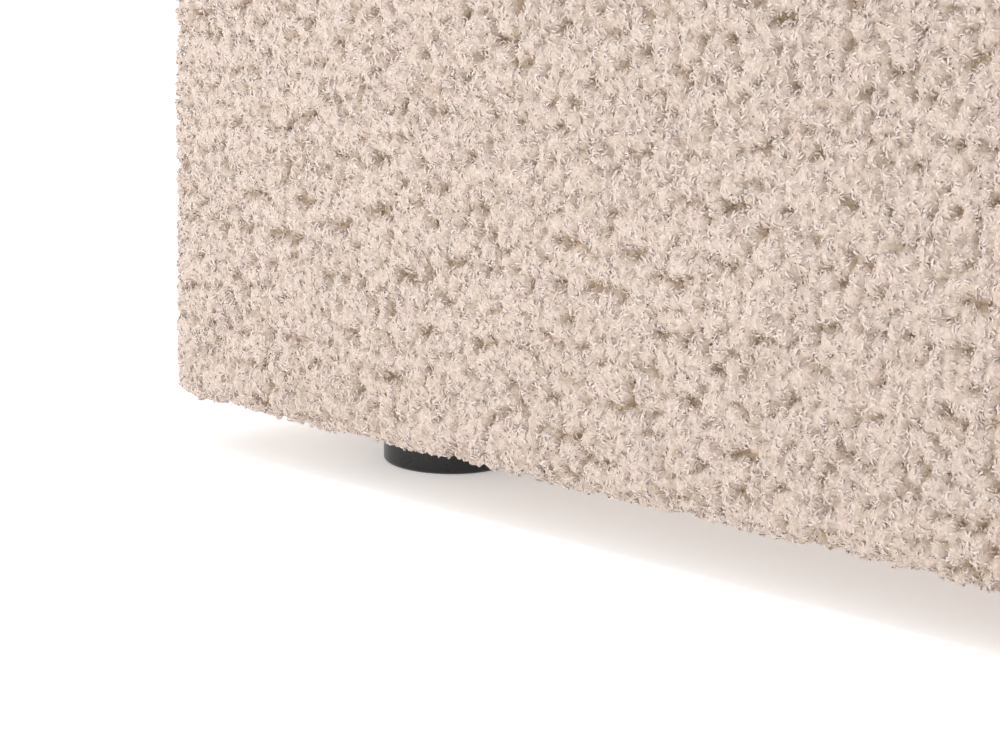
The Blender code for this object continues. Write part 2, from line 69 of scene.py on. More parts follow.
# Upholstery
EDGE_RADIUS = 0.009
EDGE_ARC = EDGE_RADIUS * math.pi / 2
EDGE_STEPS = 4
SKIN_SPACING = 0.006
RAIL_SPACING = 0.010
PANEL_CROWN = 0.0015
CLUMP = 0.0049
KNOT_SIZE = 0.36
KNOT_SHIFT = np.array([(0.25, 0.25, 0.0), (0.75, 0.75, 1.0)])
CLUMP_HEIGHT = 0.0008
PATCH_CLUMP_HEIGHT = 0.0018
CLUMP_SEED = 11
CLUMP_STRETCH = np.array([1.0, 1.0, 0.75])
CLUMP_BEND = 0.22 * CLUMP
CLUMP_FINE = 0.35
KNOT_REACH = 0.8
KNOT_LATTICE = 32
NOISE_LATTICE = 64

# Headboard
HEADBOARD_SPACING = 0.014
HEADBOARD_CLUMP_HEIGHT = 0.7 * CLUMP_HEIGHT
CORNER_RADIUS = 0.060
SEAM_PLACES = (-0.30, 0.30)
SEAM_WIDTH = 0.007
SEAM_DEPTH = 0.007
SEAM_END = 0.300
SEAM_FADE = 0.030
SEAM_SHALLOW = 0.15
PAD_PRESSURE = 4.0
FABRIC_STRETCH = 12
FABRIC_BENDING = 1.5
PAD_FRAMES = 20
PAD_CROWN = 0.018

# Back lining and its staples
LINING_SPACING = 0.008
BACK_RECESS = 0.0035
BACK_EDGE = 0.006
STAPLE_PITCH = 0.045
STAPLE_CROWN = 0.010
STAPLE_LEG = 0.004
STAPLE_INSET = 0.008
STAPLE_RADIUS = 0.0005
STAPLE_CORNER = 0.0004
STAPLE_STANDING = 0.0002
STAPLE_SIDES = 6
LINING_DEPTH = 0.0009
LINING_SLACK = 0.0006
SLACK_CELL = 0.16
SLACK_BORDER = 0.08
SLACK_SEED = 31
PLEAT_HEIGHT = 0.0005
PLEAT_LENGTH = 0.020

# Feet, legs and fittings
FOOT_FILLET = 0.002
WELL_RADIUS = 0.006
WELL_DEPTH = 0.007
WELL_CHAMFER = 0.0006
LEG_RADIUS = 0.019
LEG_FLANGE = 0.005
LEG_BORE = 0.0055
LEG_BORE_TOP = 0.115
LEG_RIM = 0.0015
LEG_SWEEP = 0.006
SCREWS_PER_LEG = 3
LEG_SCREW_CIRCLE = 0.0262
RIB_COUNT = 24
RIB_DEPTH = 0.0006
GLIDE_DISC = 0.008
GLIDE_ROUND = 0.002
GLIDE_COLLAR = 0.009
GLIDE_COLLAR_TOP = 0.014
STUD_RADIUS = 0.005
THREAD_PITCH = 0.0015
THREAD_DEPTH = 0.0006
HEXAGON = "hexagon"
CROSS = "cross"
# Screw heads: radius, height, radius of the socket, its shape and its depth
FOOT_SCREW = (0.72 * WELL_RADIUS, 0.0022, 0.0024, CROSS, 0.0014)
LEG_SCREW = (0.0042, 0.0020, 0.0022, CROSS, 0.0013)
SLAT_SCREW = (0.0042, 0.0006, 0.0024, CROSS, 0.0005)
LEDGE_SCREW = (0.0045, 0.0020, 0.0024, CROSS, 0.0014)
CRISP_EDGE = math.radians(35)
UPSIDE_DOWN = Matrix.Rotation(math.pi, 4, "X")
BOLT_HEAD = 0.0045
BOLT_RADIUS = 0.004
SLAT_COUNT = 12
SLAT_SCREW_X = 0.790
SCREWS_PER_LEDGE = 8

# Loops of yarn on the part of the footboard that is seen close up
LOOP_PITCH = 0.00170
LOOP_RADIUS = (0.00075, 0.00130)
YARN_RADIUS = (0.00033, 0.00047)
LOOP_STEPS = 8
LOOP_SEED = 6
SPOT_SHIFT = (-0.1, 1.1)
LOOP_TURNS = (0.85, 1.50)
LOOP_CLIMB = (0.0005, 0.0020)
LOOP_FLATNESS = 0.9
LOOP_SCATTER = 0.00025
TWISTED_SHARE = 0.3
YARN_SIDES = 3
LOOP_CENTRE = -0.0004
LOOP_BORDER = (0.42, 0.62)
LOOP_BARE = (0.7, 1.4)
PATCH_WIDTH = 0.400
PATCH_TOP = 0.190
PATCH_SIDE = 0.010
PATCH_FADE = 0.060
PATCH_PIECES = 12
BORDER_WOBBLE = 0.022
BORDER_CELL = 0.045
GROUND_SPACING = 0.0014
GROUND_LEVEL = 0.0004
GROUND_KNOBS = 0.00035
GROUND_KNOB_CELL = 0.0022
VALLEY_CELL = 0.012
VALLEY_UNEVEN = 0.35
VALLEY_LEVEL = (0.15, -1.0)
VALLEY_DEPTH = 0.0004
UNDERLAY = 0.0045

# Timber: the pale and dark wood of each ring, and how many rings there are
PINE_PALE = (0.78, 0.60, 0.38, 1.0)
PINE_DARK = (0.66, 0.45, 0.25, 1.0)
PINE_RINGS = 75.0
PLY_PALE = (0.70, 0.52, 0.34, 1.0)
PLY_DARK = (0.56, 0.39, 0.23, 1.0)
PLY_RINGS = 60.0


# ---- meshes

def in_scene(name, data):
    """A new object with this mesh, camera or light, linked to the scene."""
    piece = bpy.data.objects.new(name, data)
    bpy.context.scene.collection.objects.link(piece)
    return piece


def grid_quads(index):
    """Quads between neighbours in a 2-D table of point numbers."""
    quads = np.stack([index[:-1, :-1], index[1:, :-1], index[1:, 1:], index[:-1, 1:]], axis=-1)
    return quads.reshape(-1, 4)


def mesh_from_quads(name, points, quads):
    """A mesh object from arrays of points and of quads."""
    mesh = bpy.data.meshes.new(name)
    mesh.vertices.add(len(points))
    mesh.vertices.foreach_set("co", np.asarray(points, np.float32).ravel())
    mesh.loops.add(quads.size)
    mesh.loops.foreach_set("vertex_index", quads.astype(np.int32).ravel())
    mesh.polygons.add(len(quads))
    mesh.polygons.foreach_set("loop_start", np.arange(len(quads), dtype=np.int32) * 4)
    mesh.polygons.foreach_set("loop_total", np.full(len(quads), 4, np.int32))
    mesh.update()
    mesh.validate()
    mesh.shade_smooth()
    return in_scene(name, mesh)


def rows_of(items, name):
    """Three numbers of each of a mesh's items, one row each."""
    values = np.empty(len(items) * 3)
    items.foreach_get(name, values)
    return values.reshape(-1, 3)


def points_of(piece):
    """The places of a mesh object's points."""
    return rows_of(piece.data.vertices, "co")


def set_points(piece, points):
    """Moves a mesh object's points to these places."""
    piece.data.vertices.foreach_set("co", np.asarray(points, np.float32).ravel())
    piece.data.update()


def normals_of(piece):
    """The outward direction at each of a mesh object's points."""
    return rows_of(piece.data.vertex_normals, "vector")


def smooth_noise(points, cell, seed):
    """A smooth random field between -1 and 1, with bumps about one cell across."""
    size = NOISE_LATTICE
    lattice = np.random.default_rng(seed).uniform(-1, 1, (size, size, size))
    scaled = points / cell
    low = np.floor(scaled).astype(int)
    part = scaled - low
    part = part * part * (3 - 2 * part)
    total = np.zeros(len(points))
    for corner in range(8):
        step = np.array([corner & 1, corner >> 1 & 1, corner >> 2 & 1])
        weight = np.prod(np.where(step, part, 1 - part), axis=1)
        index = (low + step) % size
        total += weight * lattice[index[:, 0], index[:, 1], index[:, 2]]
    return total


def knots(points, cell, seed):
    """Rounded bumps about one cell apart: 1 on their tops, around -1 in the valleys between them."""
    size = KNOT_LATTICE
    shift = np.random.default_rng(seed).uniform(KNOT_SHIFT[0], KNOT_SHIFT[1], (size, size, size, 3))
    scaled = points / cell
    low = np.floor(scaled).astype(int)
    nearest = np.full(len(points), np.inf)
    for step in itertools.product((-1, 0, 1), repeat=3):
        index = (low + step) % size
        middle = low + step + shift[index[:, 0], index[:, 1], index[:, 2]]
        nearest = np.minimum(nearest, ((scaled - middle) ** 2).sum(axis=1))
    return 1 - np.minimum(nearest, KNOT_REACH) / KNOT_SIZE


def clumps(points):
    """Height of the fabric's tufts: rounded knots with finer bumps on them."""
    squeezed = points * CLUMP_STRETCH
    bend = smooth_noise(squeezed, CLUMP * 1.3, CLUMP_SEED + 4)[:, None]
    fine = smooth_noise(squeezed, CLUMP / 2.2, CLUMP_SEED + 1)
    return knots(squeezed + CLUMP_BEND * bend, CLUMP, CLUMP_SEED) + CLUMP_FINE * fine


def axis_lines(low, high, radius, spacing):
    """Grid lines across a box side, close together where the edge is rounded."""
    angles = np.linspace(0, math.pi / 4, EDGE_STEPS + 1)
    edge = radius * np.tan(angles)
    flat = max(1, round((high - low - 2 * radius) / spacing))
    middle = np.linspace(low + radius, high - radius, flat + 1)
    return np.concatenate([low + radius - edge[:0:-1], middle, high - radius + edge[1:]])


def side_of_box(axis, end):
    """Index of one side of a 3-D table."""
    side = [slice(None)] * 3
    side[axis] = end
    return tuple(side)


def rounded_box(name, low, high, radius, spacing, snaps=((), (), ())):
    """A box with rounded edges, as an even grid of quads. Grid lines nearest to a snap move onto it."""
    low, high = np.array(low), np.array(high)
    lines = [axis_lines(low[a], high[a], radius, spacing) for a in range(3)]
    for line, places in zip(lines, snaps):
        for place in places:
            line[np.abs(line - place).argmin()] = place
    shape = [len(line) for line in lines]
    index = np.full(shape, -1)
    surface = np.zeros(shape, bool)
    sides = list(itertools.product(range(3), (0, -1)))
    for axis, end in sides:
        surface[side_of_box(axis, end)] = True
    index[surface] = np.arange(surface.sum())
    where = np.argwhere(surface)
    corners = np.stack([lines[a][where[:, a]] for a in range(3)], axis=1)
    inner = np.clip(corners, low + radius, high - radius)
    out = corners - inner
    points = inner + radius * out / np.linalg.norm(out, axis=1, keepdims=True)
    quads = []
    for axis, end in sides:
        quad = grid_quads(index[side_of_box(axis, end)])
        turned_out = (end == -1) != (axis == 1)
        quads.append(quad if turned_out else quad[:, ::-1])
    return mesh_from_quads(name, points, np.concatenate(quads))


def mesh_from_parts(name, parts):
    """A mesh object from several (points, faces, matrix) parts, with its sharp edges left crisp."""
    points, faces = [], []
    for part_points, part_faces, matrix in parts:
        first = len(points)
        points += [matrix @ Vector(point) for point in part_points]
        faces += [tuple(first + corner for corner in face) for face in part_faces]
    mesh = bpy.data.meshes.new(name)
    mesh.from_pydata(points, [], faces)
    mesh.validate()
    mesh.shade_smooth()
    mesh.set_sharp_from_angle(angle=CRISP_EDGE)
    return in_scene(name, mesh)


def turned(profile, steps=48, waves=None):
    """Points and faces turned round the z axis from (radius, height) pairs, closed at both ends.
    waves changes the radius by height and angle, for a thread or a hexagon."""
    angles = np.arange(steps) / steps * 2 * math.pi
    points, faces = [(0.0, 0.0, profile[0][1])], []
    for ring, (radius, height) in enumerate(profile):
        for angle in angles:
            reach = waves(ring, radius, height, angle) if waves else radius
            points.append((reach * math.cos(angle), reach * math.sin(angle), height))
    points.append((0.0, 0.0, profile[-1][1]))
    for k in range(steps):
        after = (k + 1) % steps
        faces.append((0, 1 + after, 1 + k))
        for ring in range(len(profile) - 1):
            low = 1 + ring * steps
            faces.append((low + k, low + after, low + steps + after, low + steps + k))
        last = 1 + (len(profile) - 1) * steps
        faces.append((last + k, last + after, len(points) - 1))
    return np.array(points), faces


def rounded_corner(radius, height, fillet, start, end, steps=5):
    """Profile points of a fillet centred at (radius, height), from one angle to another in degrees."""
    angles = np.radians(np.linspace(start, end, steps))
    return [(radius + fillet * math.cos(a), height + fillet * math.sin(a)) for a in angles]


# ---- materials

# Places of the colour sockets in Blender's Mix node
COLOUR_A = 6
COLOUR_B = 7
MIXED_COLOUR = 2


class Surface:
    """A material and its nodes, with short calls that add and join them."""

    def __init__(self, name, **constants):
        self.material = bpy.data.materials.new(name)
        self.material.use_nodes = True
        self.tree = self.material.node_tree
        self.shader = self.tree.nodes["Principled BSDF"]
        self.place = self.tree.nodes.new("ShaderNodeTexCoord").outputs["Object"]
        for socket, value in constants.items():
            self.shader.inputs[socket.replace("_", " ")].default_value = value

    def node(self, kind, **inputs):
        """A new node of this kind, with its inputs joined or set by name."""
        node = self.tree.nodes.new("ShaderNode" + kind)
        for socket, value in inputs.items():
            self.put(node.inputs[socket.replace("_", " ")], value)
        return node

    def put(self, socket, value):
        """Joins another node's output to an input, or sets a plain value."""
        if isinstance(value, bpy.types.NodeSocket):
            self.tree.links.new(value, socket)
        else:
            socket.default_value = value

    def stretched(self, scale):
        """The place on the piece, stretched by a factor along each axis."""
        mapping = self.node("Mapping", Vector=self.place)
        mapping.inputs["Scale"].default_value = scale
        return mapping.outputs[0]

    def noise(self, scale, detail=2.0, roughness=0.5, place=None):
        """Cloudy values from 0 to 1."""
        node = self.node("TexNoise", Vector=place or self.place, Scale=scale,
                         Detail=detail, Roughness=roughness)
        return node.outputs["Fac"]

    def cells(self, scale, feature="SMOOTH_F1", place=None):
        """Distance from the middle of the nearest random cell."""
        node = self.node("TexVoronoi", Vector=place or self.place, Scale=scale)
        node.feature = feature
        return node.outputs["Distance"]

    def ramp(self, value, *stops):
        """A value turned into colours at the given positions."""
        node = self.node("ValToRGB", Fac=value)
        elements = node.color_ramp.elements
        while len(elements) < len(stops):
            elements.new(0.5)
        for element, (position, colour) in zip(elements, stops):
            element.position = position
            element.color = colour if len(colour) == 4 else (*colour, 1.0)
        return node.outputs["Color"]

    def spread(self, value, low, high, to_low=0.0, to_high=1.0):
        """A value moved from one range to another and kept inside it."""
        node = self.node("MapRange", Value=value)
        for socket, number in zip(("From Min", "From Max", "To Min", "To Max"),
                                  (low, high, to_low, to_high)):
            node.inputs[socket].default_value = number
        return node.outputs[0]

    def attribute(self, name):
        """A value stored with the piece's points."""
        node = self.node("Attribute")
        node.attribute_name = name
        return node.outputs["Fac"]

    def maths(self, operation, first, second):
        """The result of a sum, product or the like."""
        node = self.tree.nodes.new("ShaderNodeMath")
        node.operation = operation
        self.put(node.inputs[0], first)
        self.put(node.inputs[1], second)
        return node.outputs[0]

    def mix(self, amount, first, second, blend="MIX"):
        """Two colours mixed, or multiplied, by that amount."""
        node = self.tree.nodes.new("ShaderNodeMix")
        node.data_type = "RGBA"
        node.blend_type = blend
        self.put(node.inputs["Factor"], amount)
        self.put(node.inputs[COLOUR_A], first)
        self.put(node.inputs[COLOUR_B], second)
        return node.outputs[MIXED_COLOUR]

    def finish(self, colour, roughness, height, depth):
        """Joins the colour, the roughness and a bump of that depth in metres to the shader."""
        self.put(self.shader.inputs["Base Color"], colour)
        self.put(self.shader.inputs["Roughness"], roughness)
        bump = self.node("Bump", Height=height, Distance=depth, Strength=1.0)
        self.put(self.shader.inputs["Normal"], bump.outputs[0])
        return self.material


def colour(red, green, blue):
    """An opaque colour."""
    return (red, green, blue, 1.0)


def fabric_surface(name, sheen):
    """A surface with the warm sheen and the weak reflections of cloth."""
    return Surface(name, Sheen_Weight=sheen, Sheen_Roughness=0.45, Specular_IOR_Level=0.2,
                   Sheen_Tint=colour(1.0, 0.93, 0.87))


def boucle_yarn():
    """The curled yarn itself: pale cream, here and there warmer, pinker or more yellow, with painted
    shade, darker and browner, on loops that lie in the valleys between tufts.
    """
    s = fabric_surface("boucle_yarn", 0.60)
    tint = s.ramp(s.noise(110.0, 1.0),
                  (0.30, (0.728, 0.617, 0.557)), (0.45, (0.771, 0.662, 0.611)),
                  (0.55, (0.764, 0.664, 0.599)), (0.72, (0.761, 0.638, 0.601)))
    strands = s.noise(900.0, 1.0)
    # Painted shade: the yarn is mixed towards brown by how deep its loop lies in a valley between tufts.
    shadow = s.maths("MULTIPLY", s.attribute("valley"), 0.75)
    deep = s.mix(shadow, tint, colour(0.600, 0.470, 0.360))
    shaded = s.mix(1.0, deep, s.spread(strands, 0.3, 0.7, 0.90, 1.06), "MULTIPLY")
    return s.finish(shaded, s.spread(strands, 0.3, 0.7, 0.80, 0.98), strands, 0.00015)


def boucle_ground():
    """The cloth that the loops stand on: tiny curls with painted shade in the gaps between them, and
    olive brown in the valleys between tufts, partly the bare cloth's own colour and partly painted
    shade.
    """
    s = fabric_surface("boucle_ground", 0.30)
    curls = s.cells(780.0)
    tone = s.ramp(s.noise(110.0, 1.0),
                  (0.30, (0.668, 0.546, 0.459)), (0.50, (0.714, 0.596, 0.515)),
                  (0.72, (0.704, 0.577, 0.507)))
    # Olive brown by how deep the point lies in a valley between tufts: partly the colour of the bare
    # cloth, partly painted shade.
    pits_and_painted_shade = s.mix(s.attribute("valley"), tone, colour(0.430, 0.315, 0.210))
    # Painted highlight and shade: lighter in the middle of each tiny curl, where the bump is highest,
    # and darker in the gaps between curls.
    shaded = s.mix(1.0, pits_and_painted_shade, s.spread(curls, 0.05, 0.60, 1.08, 0.80), "MULTIPLY")
    height = s.maths("SUBTRACT", s.noise(900.0, 1.0), curls)
    return s.finish(shaded, s.spread(curls, 0.0, 0.6, 0.85, 1.0), height, 0.0007)


def boucle_cover():
    """The same fabric where it is seen from further away: loops and pits as pattern and bump, with
    painted highlights on the tops of the loops and tufts and painted shade in the gaps between them.
    """
    s = fabric_surface("boucle_cover", 0.30)
    tall = s.stretched((1.0, 1.0, 0.72))
    loops = s.cells(330.0, place=tall)
    tufts = s.noise(170.0, 3.0, place=tall)
    # The tint is darker than the yarn's own colour. It is partly the fabric's colour and partly painted
    # shade for the shadows that the loops cast on each other.
    tint = s.ramp(s.noise(60.0, 3.0),
                  (0.30, (0.525, 0.427, 0.368)), (0.45, (0.557, 0.454, 0.394)),
                  (0.55, (0.552, 0.458, 0.390)), (0.72, (0.549, 0.438, 0.390)))
    # Painted highlight and shade: loop tops, where the bump is highest, are lighter, and the gaps
    # between loops are darker.
    tops = s.mix(1.0, tint, s.spread(loops, 0.05, 0.65, 1.12, 0.80), "MULTIPLY")
    # Painted shade: darker in the valleys between tufts and lighter on their tops, following the bump.
    shade = s.mix(1.0, tops, s.spread(tufts, 0.30, 0.70, 0.95, 1.05), "MULTIPLY")
    pits = s.spread(s.noise(190.0, 2.0, place=tall), 0.28, 0.36, 0.8, 0.0)
    pits_and_painted_shade = s.mix(pits, shade, colour(0.42, 0.325, 0.235))
    broad = s.spread(s.noise(5.0, 2.0), 0.3, 0.7, 0.98, 1.02)
    toned = s.mix(1.0, pits_and_painted_shade, broad, "MULTIPLY")
    height = s.maths("SUBTRACT", s.maths("ADD", tufts, s.spread(s.noise(1500.0), 0, 1, 0, 0.2)), loops)
    return s.finish(toned, s.spread(loops, 0.0, 0.7, 0.82, 1.0), height, 0.0009)


def black_plastic():
    """Semi-gloss moulded plastic with a fine texture, and lighter where it has been rubbed."""
    s = Surface("black_plastic", Coat_Weight=0.08, Coat_Roughness=0.25, Specular_IOR_Level=0.4)
    fine = s.noise(1800.0, 2.0)
    rubbed = s.noise(70.0, 4.0, 0.6)
    tone = s.ramp(rubbed, (0.30, (0.012, 0.012, 0.013)), (0.75, (0.022, 0.022, 0.023)))
    return s.finish(tone, s.spread(rubbed, 0.3, 0.7, 0.24, 0.36), fine, 0.00003)


def wood(name, pale, dark, along, ring_scale):
    """Sawn softwood: rings and fibres drawn out along one axis, with a few knots."""
    s = Surface(name, Specular_IOR_Level=0.35)
    stretch = [1.0, 1.0, 1.0]
    stretch[along] = 0.06
    place = s.stretched(stretch)
    warp = s.noise(9.0, 2.0, place=place)
    rings = s.maths("SINE", s.maths("MULTIPLY", warp, ring_scale), 0.0)
    fibres = s.noise(700.0, 4.0, 0.65, place=place)
    grain = s.mix(s.spread(rings, -1.0, 1.0, 0.0, 1.0), pale, dark)
    lined = s.mix(1.0, grain, s.spread(fibres, 0.3, 0.7, 0.84, 1.10), "MULTIPLY")
    knot = s.spread(s.cells(3.3, "F1"), 0.012, 0.030, 1.0, 0.0)
    knotted = s.mix(knot, lined, colour(0.20, 0.095, 0.040))
    height = s.maths("ADD", s.maths("MULTIPLY", fibres, 0.6), s.maths("MULTIPLY", rings, 0.2))
    return s.finish(knotted, s.spread(fibres, 0.3, 0.7, 0.50, 0.72), height, 0.0003)


def steel():
    """Bright zinc plating: faint spangle, rolling marks and a few dull patches."""
    s = Surface("zinc_steel", Metallic=1.0)
    spangle = s.cells(160.0, "F1")
    marks = s.noise(240.0, 3.0, place=s.stretched((1.0, 1.0, 0.1)))
    tone = s.ramp(spangle, (0.0, (0.70, 0.71, 0.72)), (0.8, (0.52, 0.53, 0.55)))
    dull = s.noise(30.0, 3.0)
    roughness = s.spread(s.maths("ADD", marks, dull), 0.7, 1.3, 0.24, 0.46)
    return s.finish(tone, roughness, marks, 0.00008)


def spunbond():
    """Black non-woven lining: point-bonded fibres with a faint grid of dimples."""
    s = fabric_surface("back_lining", 0.10)
    fibres = s.noise(1400.0, 5.0, 0.7)
    dots = s.cells(520.0, "F1")
    tone = s.ramp(fibres, (0.30, (0.018, 0.018, 0.020)), (0.70, (0.045, 0.045, 0.048)))
    bonded = s.mix(s.spread(dots, 0.20, 0.30, 1.0, 0.0), tone, colour(0.010, 0.010, 0.011))
    broad = s.spread(s.noise(14.0, 3.0), 0.3, 0.7, 0.85, 1.15)
    toned = s.mix(1.0, bonded, broad, "MULTIPLY")
    return s.finish(toned, s.spread(dots, 0.1, 0.5, 0.62, 0.85), fibres, 0.0002)


def foam_surface():
    """Cream foam with fine open cells and a little yellowing."""
    s = fabric_surface("foam", 0.0)
    cells = s.cells(900.0)
    yellowed = s.spread(s.noise(25.0), 0.3, 0.7, 0.0, 1.0)
    tone = s.mix(yellowed, colour(0.86, 0.84, 0.74), colour(0.80, 0.77, 0.62))
    shaded = s.mix(1.0, tone, s.spread(cells, 0.1, 0.6, 1.04, 0.80), "MULTIPLY")
    return s.finish(shaded, 0.9, cells, 0.0004)


MATERIALS = {
    "boucle_yarn": boucle_yarn(),
    "boucle_ground": boucle_ground(),
    "boucle": boucle_cover(),
    "black_plastic": black_plastic(),
    "zinc_steel": steel(),
    "back_lining": spunbond(),
    "foam": foam_surface(),
}
for AXIS, LETTER in enumerate("xyz"):
    MATERIALS[f"pine_{LETTER}"] = wood(f"pine_{LETTER}", PINE_PALE, PINE_DARK, AXIS, PINE_RINGS)
    MATERIALS[f"plywood_{LETTER}"] = wood(f"plywood_{LETTER}", PLY_PALE, PLY_DARK, AXIS, PLY_RINGS)


def dress(piece, material):
    """Gives a piece one material all over."""
    piece.data.materials.clear()
    piece.data.materials.append(MATERIALS[material])
    return piece


def joined(piece, body, slot, *nodes):
    """Makes a piece ride on a body, and stand for CAD nodes if any are named."""
    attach(piece, body)
    if nodes:
        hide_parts(*nodes)


# ---- upholstery

def roughened(piece, height):
    """Pushes the points of a cover in and out as the fabric's tufts do."""
    points = points_of(piece)
    set_points(piece, points + normals_of(piece) * (height * clumps(points))[:, None])


def swell(points, normals, node, thin_axis):
    """How far the padding swells the two large faces of a panel, most in the middle."""
    low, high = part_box(node)
    amount = PANEL_CROWN * normals[:, thin_axis] ** 2
    for axis in range(3):
        if axis != thin_axis:
            part = (2 * points[:, axis] - low[axis] - high[axis]) / (high[axis] - low[axis])
            amount = amount * (1 - np.clip(part, -1, 1) ** 6)
    return amount


def upholstered_panel(name, node, thin_axis, spacing):
    """The cover of a firm panel: rounded edges, a slight crown and the fabric's tufts."""
    low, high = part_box(node)
    piece = rounded_box(name, low, high, EDGE_RADIUS, spacing)
    points, normals = points_of(piece), normals_of(piece)
    set_points(piece, points + normals * swell(points, normals, node, thin_axis)[:, None])
    roughened(piece, CLUMP_HEIGHT)
    return dress(piece, "boucle")


def scattered(low, high, pitch, random):
    """Places on a grid of that pitch, each moved by a random part of it."""
    columns = int((high[0] - low[0]) / pitch)
    rows = int((high[1] - low[1]) / pitch)
    grid = np.stack(np.meshgrid(np.arange(columns), np.arange(rows)), axis=-1).reshape(-1, 2)
    return np.array(low) + (grid + random.uniform(*SPOT_SHIFT, grid.shape)) * pitch


def tubes(paths, radius, sides):
    """Points and quads of tubes along many paths at once; paths is (tube, step, xyz)."""
    count, steps, _ = paths.shape
    along = np.gradient(paths, axis=1)
    along /= np.linalg.norm(along, axis=2, keepdims=True)
    plane = np.cross(along[:, :1], along[:, steps // 2: steps // 2 + 1])
    plane /= np.linalg.norm(plane, axis=2, keepdims=True) + 1e-9
    side = np.cross(along, np.broadcast_to(plane, along.shape))
    side /= np.linalg.norm(side, axis=2, keepdims=True) + 1e-9
    other = np.cross(along, side)
    angles = np.arange(sides) / sides * 2 * math.pi
    ring = np.cos(angles)[:, None] * side[:, :, None, :] + np.sin(angles)[:, None] * other[:, :, None, :]
    points = (paths[:, :, None, :] + radius[:, None, None, None] * ring).reshape(-1, 3)
    first = (np.arange(count) * steps * sides)[:, None, None]
    step = np.arange(steps - 1)[None, :, None] * sides
    here = np.arange(sides)[None, None, :]
    there = (here + 1) % sides
    quads = np.stack([first + step + here, first + step + there,
                      first + step + sides + there, first + step + sides + here], axis=-1)
    return points, quads.reshape(-1, 4)


def curls(centre, normal, right, random):
    """Paths of curled loops of yarn, most of them round and some S-shaped."""
    count = len(centre)
    turn = np.linspace(0, 1, LOOP_STEPS + 1)[None, :]
    full = 2 * math.pi
    angle = turn * full * random.uniform(*LOOP_TURNS, (count, 1))
    angle = angle + random.uniform(0, full, (count, 1))
    up = np.cross(right, normal)
    lean = random.normal(size=(count, 3))
    axis = lean[:, :1] * right + lean[:, 1:2] * up + LOOP_FLATNESS * lean[:, 2:] * normal
    axis /= np.linalg.norm(axis, axis=1, keepdims=True)
    first = np.cross(axis, random.normal(size=(count, 3)))
    first /= np.linalg.norm(first, axis=1, keepdims=True)
    second = np.cross(axis, first)
    radius = random.uniform(*LOOP_RADIUS, (count, 1))
    twist = np.where(random.uniform(size=(count, 1)) < TWISTED_SHARE, 2.0, 1.0)
    wide = (radius * np.cos(angle))[:, :, None] * first[:, None, :]
    high = (radius * np.sin(angle * twist))[:, :, None] * second[:, None, :]
    climb = ((turn - 0.5) * random.uniform(*LOOP_CLIMB, (count, 1)))[:, :, None] * axis[:, None, :]
    return centre[:, None, :] + wide + high + climb


def valley_field(points, tufts):
    """0 on the tufts, rising to 1 in the deepest valleys between them."""
    field = tufts + VALLEY_UNEVEN * smooth_noise(points, VALLEY_CELL, CLUMP_SEED + 3)
    return np.clip((field - VALLEY_LEVEL[0]) / (VALLEY_LEVEL[1] - VALLEY_LEVEL[0]), 0, 1)


def mark_valleys(piece, values):
    """Stores how deep in a valley each point lies, for the fabric's colour: painted shade in the valleys
    between the tufts, mixed on the ground with the bare cloth's olive brown.
    """
    attribute = piece.data.attributes.new("valley", "FLOAT", "POINT")
    attribute.data.foreach_set("value", values.astype(np.float32))
    return piece


def patch_fade(points, node):
    """0 on the fully looped part of the footboard, rising to 1 over its uneven border."""
    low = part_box(node)[0]
    past = np.maximum.reduce([points[:, 0] - low.x - EDGE_RADIUS - PATCH_WIDTH,
                              points[:, 2] - low.z - EDGE_RADIUS - PATCH_TOP,
                              points[:, 1] - low.y - EDGE_RADIUS - PATCH_SIDE])
    wobble = BORDER_WOBBLE * smooth_noise(points, BORDER_CELL, CLUMP_SEED + 5)
    return np.clip((past + wobble) / PATCH_FADE, 0, 1)


class PatchFabric:
    """The close-up fabric, unrolled from the footboard's front, rounded edges and end."""

    def __init__(self, node):
        self.node = node
        self.start = np.array(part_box(node)[0]) + EDGE_RADIUS
        reach = PATCH_FADE + BORDER_WOBBLE
        self.low = (-EDGE_ARC - PATCH_SIDE - reach, -EDGE_ARC)
        self.high = (PATCH_WIDTH + reach, PATCH_TOP + reach)

    def wrapped(self, along, up):
        """The panel's points, their outward directions and the directions to the right."""
        turn = np.clip(-along / EDGE_RADIUS, 0, math.pi / 2)
        tip = np.clip(-up / EDGE_RADIUS, 0, math.pi / 2)
        level = np.cos(tip)
        normal = -np.stack([np.sin(turn) * level, np.cos(turn) * level, np.sin(tip)], axis=1)
        behind = np.maximum(-along - EDGE_ARC, 0)
        shift = np.stack([np.maximum(along, 0), behind, np.maximum(up, 0)], axis=1)
        right = np.stack([np.cos(turn), -np.sin(turn), np.zeros_like(turn)], axis=1)
        return self.start + shift + EDGE_RADIUS * normal, normal, right

    def place(self, spots):
        """Surface points, directions, the fabric's height and its valleys at unrolled spots."""
        surface, normal, right = self.wrapped(spots[:, 0], spots[:, 1])
        tufts = clumps(surface)
        valley = valley_field(surface, tufts)
        height = PATCH_CLUMP_HEIGHT * tufts - VALLEY_DEPTH * valley
        height += swell(surface, normal, self.node, 1)
        return surface, normal, right, height, valley


